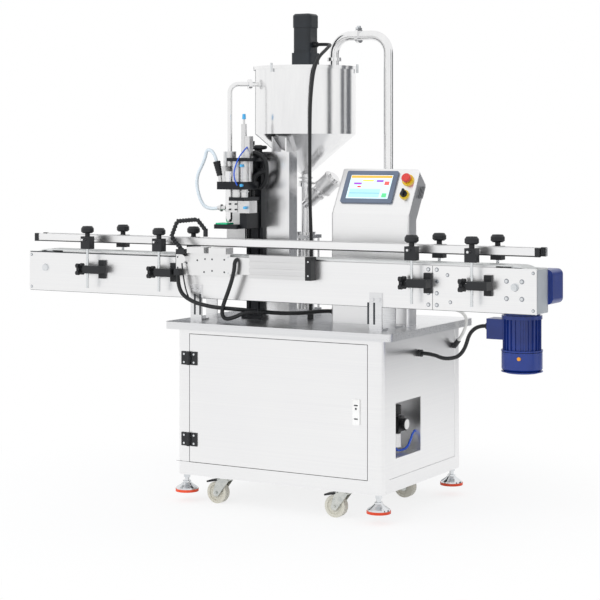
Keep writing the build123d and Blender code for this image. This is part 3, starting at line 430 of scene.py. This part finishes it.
# Screen: a plain generic layout, no lettering; sizes in mm along X and up the slope
screen = {
    "glass": ((214, 376), (57, 149), "#CFE9F1"),
    "strip": ((216, 374), (137, 147), "#F0B24A"),
    "purple": ((232, 262), (112, 119), "#A13BD0"),
    "plum": ((318, 344), (122, 129), "#8E2FC4"),
    "red": ((248, 262), (100, 106), "#E04848"),
    "redSmall": ((350, 368), (110, 124), "#E8605A"),
    "yellow": ((264, 306), (124, 130), "#F2DD55"),
    "green": ((350, 368), (62, 78), "#5FD18C"),
    "panel": ((222, 340), (62, 94), "#A9D7E8"),
    "line": ((222, 340), (77, 79), "#6BB5D2"),
}
slope = {
    "foot": Vector((0, -60, 996)),
    "rise": (88, 153),
    "glassOut": 5.6,  # above the console's slope
    "markOut": 0.15,  # above the glass
    "lineOut": 0.1,  # above the other marks
    "halfThick": 0.1,
    "glow": 0.35,
}
slopeUp = Vector((0, *slope["rise"])).normalized()
slopeOut = Vector((0, -slopeUp.z, slopeUp.y))
slopeTurn = Matrix.Rotation(math.atan2(slope["rise"][1], slope["rise"][0]), 3, "X")
for name, (across, up, colour) in screen.items():
    title = "screen" + name[0].upper() + name[1:]
    # Lit glass: even colour, smooth, with a little light of its own
    material, _, shader, _ = newMaterial(title)
    shader.inputs["Base Color"].default_value = linear(colour)
    shader.inputs["Roughness"].default_value = 0.12
    shader.inputs["Emission Color"].default_value = linear(colour)
    shader.inputs["Emission Strength"].default_value = slope["glow"]
    out = slope["glassOut"]
    if name != "glass":
        out += slope["markOut"]
    if name == "line":
        out += slope["lineOut"]
    middle = slope["foot"] + slopeUp * ((up[0] + up[1]) / 2) + slopeOut * out
    half = Vector(((across[1] - across[0]) / 2, (up[1] - up[0]) / 2, slope["halfThick"]))
    centre = Vector(((across[0] + across[1]) / 2, middle.y, middle.z))
    mesh = bmesh.new()
    addBox(mesh, centre - half, centre + half, slopeTurn)
    finishPiece(title, mesh, material, "machine")

# Filling head: push-in fittings, cylinder rings, hose union, block fins and the valve's grip
head = {
    "fittings": ((-100, -206, 1160), (-100, -206, 1092), (-86, -206, 1015)),
    "stem": (-127, -150),
    "front": -180,
    "cylinders": (-139, -106),
    "rings": (1068, 1112, 1128, 1150, 1166),
    "ringRadius": 15.5,
    "union": 1012,
    "finStarts": range(1000, 1035, 5),
    "gripTop": (-221, -180, 1174),
    "gripFoot": (-208, -180, 1124),
    "gripRings": 6,
}
stemX, stemY = head["stem"]
front, union = head["front"], head["union"]
mesh = bmesh.new()
for x, y, z in head["fittings"]:
    addRod(mesh, (x, y + 6, z), (x, y - 9, z), 5)
addRod(mesh, (stemX, stemY, 1322), (stemX, stemY, 1340), 7, 5.5)
finishPiece("headFittings", mesh, lightBlue, "head")
mesh = bmesh.new()
addRod(mesh, (stemX, stemY, 1305), (stemX, stemY, 1322), 4)
for z in head["rings"]:
    for x in head["cylinders"]:
        addRod(mesh, (x, front, z), (x, front, z + 4), head["ringRadius"])
addRod(mesh, (-182, front, union), (-214, front, union), 8)
addRod(mesh, (-199, front, union), (-203, front, union), 13)
addRod(mesh, (-170, front, 1000), (-170, front, 1008), 14)
for z in head["finStarts"]:
    addBox(mesh, (-120.6, -201.6, z), (-73.4, -149.4, z + 2.5))
finishPiece("headMetalwork", mesh, aluminium, "head", 0.5)
gripTop, gripFoot, rings = Vector(head["gripTop"]), Vector(head["gripFoot"]), head["gripRings"]
mesh = bmesh.new()
for i in range(rings):
    addRod(mesh, gripTop.lerp(gripFoot, i / rings), gripTop.lerp(gripFoot, (i + 0.8) / rings), 13 - i * 0.6)
addRod(mesh, gripTop, gripFoot, 10.5, 8.5)
finishPiece("headHandle", mesh, blackNylon, "head", 0.6)


# A bent round tube: a NURBS curve through given points in millimetres
def tubePiece(name, points, diameter, material, body):
    curve = bpy.data.curves.new(name, "CURVE")
    curve.dimensions = "3D"
    spline = curve.splines.new("NURBS")
    spline.points.add(len(points) - 1)
    for point, place in zip(spline.points, points):
        point.co = (*(Vector(place) / 1000), 1.0)
    spline.order_u = 3
    spline.use_endpoint_u = True
    spline.resolution_u = 16
    curve.bevel_depth = diameter / 2000
    curve.bevel_resolution = 5
    curve.use_fill_caps = True
    curve.materials.append(material)
    piece = linkObject(name, curve)
    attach(piece, body)
    return piece


# Ribbed polyamide conduit, extruded: black, low gloss, ringed all along a tube of this length in metres
def ribbedFinish(name, length):
    material, tree, shader, _ = newMaterial(name)
    ribPitch = 0.0035  # metres
    tubeMap = addNode(tree, "ShaderNodeTexCoord").outputs["UV"]
    along = addNode(tree, "ShaderNodeSeparateXYZ", links={0: tubeMap})
    wave = addNode(tree, "ShaderNodeMath", {"operation": "MULTIPLY"}, {1: length / ribPitch * math.tau},
                   {0: along.outputs[0]})
    rib = addNode(tree, "ShaderNodeMath", {"operation": "SINE"}, links={0: wave.outputs[0]})
    # Colour follows the ribs: the grooves are painted darker as shade, the crests lighter as painted
    # highlight
    ramp = mixColours(tree, rib.outputs[0], "#0D0E10", "#24272B")
    bump = addNode(tree, "ShaderNodeBump", values={"Strength": 0.5, "Distance": 0.001},
                   links={"Height": rib.outputs[0]})
    shader.inputs["Roughness"].default_value = 0.42
    tree.links.new(ramp.outputs[0], shader.inputs["Base Color"])
    tree.links.new(bump.outputs[0], shader.inputs["Normal"])
    return material


# Cords: the same points as the model's, in millimetres; lengths in metres
cords = {
    "motor_conduit": {
        "points": [(765, -89, 640), (712, -89, 640), (672, -66, 536), (600, -50, 516), (545, -38, 531),
                   (508, -38, 531)],
        "diameter": 13, "length": 0.326},
    "white_hose": {
        "points": [(330, 22, 655), (330, 78, 655), (405, 150, 668), (488, 192, 668), (556, 215, 648),
                   (550.9, 223.7, 589.8), (518.8, 229.4, 549.6)],
        "diameter": 11, "length": 0.426},
    "agitator_conduit": {
        "points": [(32, 90, 1590), (85, 90, 1590), (116, 26, 1578), (114, -74, 1524), (102, -84, 1400),
                   (94, -74, 1280), (80, -50, 1150), (72, -34, 1020), (70, -20, 890), (64, -16, 760),
                   (64, -16, 640)],
        "diameter": 12, "length": 1.114},
    "stop_conduit": {
        "points": [(-328, -263, 778), (-328, -263, 728), (-276, -268, 690), (-190, -262, 672),
                   (-110, -245, 668), (-50, -200, 660), (10, -140, 650), (70, -72, 648), (122, -26, 655),
                   (158, -26, 655)],
        "diameter": 14, "length": 0.634},
}
for node, cord in cords.items():
    if node == "white_hose":
        finish = whiteTube
    else:
        finish = ribbedFinish("conduitRibbed" + node.split("_")[0].title(), cord["length"])
    piece = tubePiece(node + "_line", cord["points"], cord["diameter"], finish, "machine")
    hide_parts(node)
print("cords made")

# Short hoses with both ends on the filling head: points, diameter, finish
headHoses = {
    "doseHose": (
        [(-220, -180, 1170), (-230, -180, 1206), (-262, -180, 1220), (-270, -180, 1180), (-312, -180, 1110),
         (-284, -180, 1020), (-240, -180, 1006), (-214, -180, 1012)], 12, hoseClear),
    "doseElbow": (
        [(-208, -180, 1126), (-206, -180, 1104), (-198, -180, 1088), (-180, -180, 1086)], 13, aluminium),
    "airTube": (
        [(-120, -206, 1092), (-128, -222, 1120), (-118, -216, 1170), (-112, -190, 1205),
         (-107, -160, 1225)], 5, tubeBlue),
    "valveConduit": (
        [(-134, -125, 1186), (-134, -125, 1202), (-90, -122, 1206), (-58, -118, 1182), (-55, -115, 1140),
         (-62, -112, 1096), (-86, -110, 1080)], 17, ribbedFinish("conduitRibbedHead", 0.26)),
    "gripConduit": (
        [(-58, -116, 1140), (-84, -120, 1136), (-107, -124, 1112), (-108, -124, 1050)], 17,
        ribbedFinish("conduitRibbedGrip", 0.12)),
}
for name, (points, diameter, finish) in headHoses.items():
    tubePiece(name, points, diameter, finish, "head")

# Conduit and thin cable under the stop rail, fixed at both ends
stopLines = {
    "stopConduitShort": (
        [(-92, -250, 838), (-92, -266, 838), (-94, -267, 800), (-110, -267, 748), (-148, -266, 662),
         (-138, -262, 632), (-105, -255, 638), (-60, -236, 662), (-22, -178, 655)], 14,
        ribbedFinish("conduitRibbedShort", 0.32)),
    "sensorCable": (
        [(-312, -263, 826), (-305, -268, 780), (-284, -268, 700), (-250, -266, 676), (-215, -264, 682),
         (-180, -262, 676)], 5, blackNylon),
}
for name, (points, diameter, finish) in stopLines.items():
    tubePiece(name, points, diameter, finish, "machine")

# Brake pedals on the two front casters: the fork's own middle in X, and how far the pedal slopes
pedals = {
    "Left": ("fork_front_left", -136.5),
    "Right": ("fork_front_right", 326.5),
    "slope": -12,  # degrees
}
pedalTurn = Matrix.Rotation(math.radians(pedals["slope"]), 3, "Y")
for title in ("Left", "Right"):
    body, x = pedals[title]
    mesh = bmesh.new()
    addBox(mesh, (x - 62, -281, 74), (x - 20, -241, 80), pedalTurn)
    finishPiece("brakePedal" + title, mesh, blackNylon, body, 1.5)

# Drive motor: bands round its casing and screws on its terminal box
motor = {
    "axis": (890, -89),
    "bands": ((566, 571, 67.2), (500, 503, 67.0)),  # low, high, radius
    "boxSide": 779,
    "screwY": (-108, -70),
    "screwZ": (612, 658),
    "screwRadius": 4,
}
axisX, axisY = motor["axis"]
mesh = bmesh.new()
for low, high, radius in motor["bands"]:
    addRod(mesh, (axisX, axisY, low), (axisX, axisY, high), radius, around=48)
for y in motor["screwY"]:
    for z in motor["screwZ"]:
        addRod(mesh, (motor["boxSide"], y, z), (motor["boxSide"] - 2.5, y, z), motor["screwRadius"])
finishPiece("motorBands", mesh, blueEnamel, "machine", 0.4)

# Wing nut of the pipe's clamp and the bolts round the hopper's lid
pipe = {
    "wingNut": (156, 170),
    "hopper": (-17, 90),
    "boltCircle": 187,
    "boltAngles": (20, 140, 260),
    "boltRadius": 4,
}
x, y = pipe["wingNut"]
mesh = bmesh.new()
addRod(mesh, (x, y, 1622), (x, y, 1652), 3.5)
addRod(mesh, (x - 6, y, 1653), (x + 6, y, 1653), 5)
addBox(mesh, (x - 5, y - 16, 1645), (x + 5, y + 16, 1651))
for angle in pipe["boltAngles"]:
    x = pipe["hopper"][0] + pipe["boltCircle"] * math.cos(math.radians(angle))
    y = pipe["hopper"][1] + pipe["boltCircle"] * math.sin(math.radians(angle))
    addRod(mesh, (x, y, 1488), (x, y, 1519), pipe["boltRadius"])
finishPiece("pipeHardware", mesh, chrome, "machine", 0.6)

# Amber plug on the drive motor's front
mesh = bmesh.new()
addRod(mesh, (906, -148, 547), (906, -155.5, 547), 6)
finishPiece("motorPlug", mesh, amber, "machine")

# Valve: its barrel and the actuator's caps on the actuator's slanted axis, ferrules on the upright pipe
valve = {
    "foot": (-17, 90, 1018),
    "lean": 40,  # degrees above level
    "barrels": ((20, 66, 24), (60, 70, 28), (92, 146, 33), (90, 96, 35), (142, 148, 35)),
    "ferrules": ((1088, 1104, 24), (1112, 1118, 26)),
    "pipeEnds": ((872, 880, 30), (888, 896, 30)),
}
foot = Vector(valve["foot"])
lean = math.radians(valve["lean"])
way = Vector((math.cos(lean), 0, math.sin(lean)))
mesh = bmesh.new()
for low, high, radius in valve["barrels"]:
    addRod(mesh, foot + way * low, foot + way * high, radius, around=36)
for low, high, radius in valve["ferrules"]:
    addRod(mesh, (foot.x, foot.y, low), (foot.x, foot.y, high), radius, around=36)
addRod(mesh, (foot.x, foot.y - 12, 1096), (foot.x + 47, foot.y - 20, 1096), 4)
for low, high, radius in valve["pipeEnds"]:
    addRod(mesh, (foot.x, foot.y, low), (foot.x, foot.y, high), radius, around=36)
finishPiece("valveBarrels", mesh, aluminium, "machine", 1.0)

# Guide rails: black end plugs and the black lower edge of the strip
rails = {
    "Front": ("front_guide", -212, -202),
    "Rear": ("rear_guide", -161, -151),
    "ends": (-1001, 984),
    "plug": 16,
}
for title in ("Front", "Rear"):
    body, low, high = rails[title]
    mesh = bmesh.new()
    for x in rails["ends"]:
        addBox(mesh, (x, low - 1, 877.5), (x + rails["plug"], high + 1, 906.5))
    addBox(mesh, (-985, low - 0.6, 878), (984, low, 881.5))
    finishPiece("railPlugs" + title, mesh, blackNylon, body)

# Gooseneck: beads strung along the swan neck
neck = {
    "points": [(-312, -262, 866), (-356, -262, 912), (-340, -250, 965), (-268, -232, 972),
               (-240, -222, 935)],
    "beadPitch": 11,
    "beadLength": 0.75,  # share of the pitch
    "beadRadius": (8.6, 6.2),
}
wide, narrow = neck["beadRadius"]
mesh = bmesh.new()
for start, end in zip(neck["points"], neck["points"][1:]):
    start, end = Vector(start), Vector(end)
    count = round((end - start).length / neck["beadPitch"])
    for i in range(count):
        addRod(mesh, start.lerp(end, i / count), start.lerp(end, (i + neck["beadLength"]) / count), wide,
               narrow, 14)
finishPiece("neckBeads", mesh, blackNylon, "machine")

# Air regulator: gauge face, bowl and its tube
regulator = {
    "middle": (445, -110),
    "gauge": (486, 300, 17),  # x, z, radius
    "bowl": (222, 268, 18.2),  # low, high, radius
    "tube": [(445, -110, 222), (445, -110, 212), (452, -96, 207), (470, -74, 215), (474, -58, 240),
             (472, -36, 262), (472, -19, 266)],
    "tubeDiameter": 8,
}
x, y = regulator["middle"]
side, z, radius = regulator["gauge"]
mesh = bmesh.new()
addRod(mesh, (side, y, z), (side + 1, y, z), radius)
finishPiece("gaugeFace", mesh, whiteLacquer, "machine")
tubePiece("regulatorTube", regulator["tube"], regulator["tubeDiameter"], tubeBlue, "machine")
low, high, radius = regulator["bowl"]
mesh = bmesh.new()
addRod(mesh, (x, y, low), (x, y, high), radius)
finishPiece("regulatorBowl", mesh, aluminium, "machine", 1)
print("small pieces made")

# Floor, world and lamps
studio = {
    "floor": 30.0,  # metres across
    "floorColour": "#F4F5F6",
    "shadow": (0.6, 1.5, 0.78),  # metres from the middle: where it shows most, where it ends, least white
    "worldGrey": (0.82, 0.82, 0.83, 1),
    "aim": (0, 0, 0.8),
    # Lamps: place in metres, watts, metres across
    "lamps": {
        "key": ((-1.5, -5.0, 4.4), 150.0, 6.0),
        "fill": ((-5.0, -2.5, 3.0), 18.0, 4.0),
        "back": ((1.0, 4.5, 4.0), 25.0, 3.0),
    },
}
white = (1, 1, 1, 1)


# One where a camera, glossy or transmission ray looks, so metal and glass show the white background too
def seenShare(tree):
    ray = addNode(tree, "ShaderNodeLightPath")
    first = addNode(tree, "ShaderNodeMath", {"operation": "MAXIMUM"},
                    links={0: ray.outputs["Is Camera Ray"], 1: ray.outputs["Is Transmission Ray"]})
    both = addNode(tree, "ShaderNodeMath", {"operation": "MAXIMUM"},
                   links={0: first.outputs[0], 1: ray.outputs["Is Glossy Ray"]})
    return both.outputs[0]


mesh = bmesh.new()
bmesh.ops.create_grid(mesh, x_segments=1, y_segments=1, size=studio["floor"] / 2)
floorData = bpy.data.meshes.new("floor")
mesh.to_mesh(floorData)
mesh.free()
floor = linkObject("floor", floorData)
floorMaterial, tree = emptyMaterial("floorPale")
near, end, least = studio["shadow"]
lit = addNode(tree, "ShaderNodeBsdfDiffuse", values={"Color": linear(studio["floorColour"])})
glow = addNode(tree, "ShaderNodeEmission", values={"Color": white, "Strength": 1.0})
place = addNode(tree, "ShaderNodeTexCoord").outputs["Object"]
far = addNode(tree, "ShaderNodeVectorMath", {"operation": "LENGTH"}, links={0: place})
fade = addNode(tree, "ShaderNodeMapRange", {"interpolation_type": "SMOOTHSTEP"},
               {"From Min": near, "From Max": end, "To Min": least, "To Max": 1.0},
               {"Value": far.outputs["Value"]})
share = addNode(tree, "ShaderNodeMath", {"operation": "MULTIPLY"},
                links={0: fade.outputs[0], 1: seenShare(tree)})
both = addNode(tree, "ShaderNodeMixShader",
               links={0: share.outputs[0], 1: lit.outputs[0], 2: glow.outputs[0]})
addNode(tree, "ShaderNodeOutputMaterial", links={"Surface": both.outputs[0]})
floorData.materials.append(floorMaterial)

world = bpy.data.worlds.new("studio")
bpy.context.scene.world = world
world.use_nodes = True
tree = world.node_tree
tree.nodes.clear()
plain = addNode(tree, "ShaderNodeBackground", values={"Color": white, "Strength": 1.0})
light = addNode(tree, "ShaderNodeBackground", values={"Color": studio["worldGrey"], "Strength": 1.0})
mixed = addNode(tree, "ShaderNodeMixShader",
                links={0: seenShare(tree), 1: light.outputs[0], 2: plain.outputs[0]})
addNode(tree, "ShaderNodeOutputWorld", links={"Surface": mixed.outputs[0]})

for name, (place, power, size) in studio["lamps"].items():
    lampData = bpy.data.lights.new(name, "AREA")
    lampData.energy = power
    lampData.size = size
    lamp = linkObject(name, lampData)
    lamp.location = place
    lamp.visible_glossy = False
    lamp.rotation_euler = (Vector(studio["aim"]) - Vector(place)).to_track_quat("-Z", "Y").to_euler()

# Grey cards out of the picture: the metal mirrors them, which gives it edges and bands
# Each is its place, width and height in metres, its turn about Z in degrees and its colour
cards = {
    "right": ((3.2, 3.4, 0.9), 3.4, 3.0, -43.0, "#6E7074"),
    "left": ((-3.4, 4.4, 1.0), 2.2, 3.2, 30.0, "#85878B"),
    "strip": ((5.2, -0.4, 1.2), 0.9, 3.4, 86.0, "#55575B"),
}
for name, (place, width, height, turn, colour) in cards.items():
    mesh = bmesh.new()
    bmesh.ops.create_grid(mesh, x_segments=1, y_segments=1, size=0.5)
    bmesh.ops.scale(mesh, vec=(width, height, 1), verts=mesh.verts)
    bmesh.ops.rotate(mesh, verts=mesh.verts, matrix=Matrix.Rotation(math.radians(90), 3, "X"))
    bmesh.ops.rotate(mesh, verts=mesh.verts, matrix=Matrix.Rotation(math.radians(turn), 3, "Z"))
    bmesh.ops.translate(mesh, vec=place, verts=mesh.verts)
    data = bpy.data.meshes.new("card" + name.title())
    mesh.to_mesh(data)
    mesh.free()
    cardMaterial, tree = emptyMaterial("cardGrey" + name.title())
    shade = addNode(tree, "ShaderNodeEmission", values={"Color": linear(colour), "Strength": 1.0})
    addNode(tree, "ShaderNodeOutputMaterial", links={"Surface": shade.outputs[0]})
    data.materials.append(cardMaterial)
    card = linkObject("card" + name.title(), data)
    card.visible_camera = False
    card.visible_diffuse = False
    card.visible_shadow = False
    card.visible_transmission = False
print("studio made")

bpy.context.scene.view_settings.view_transform = "Standard"
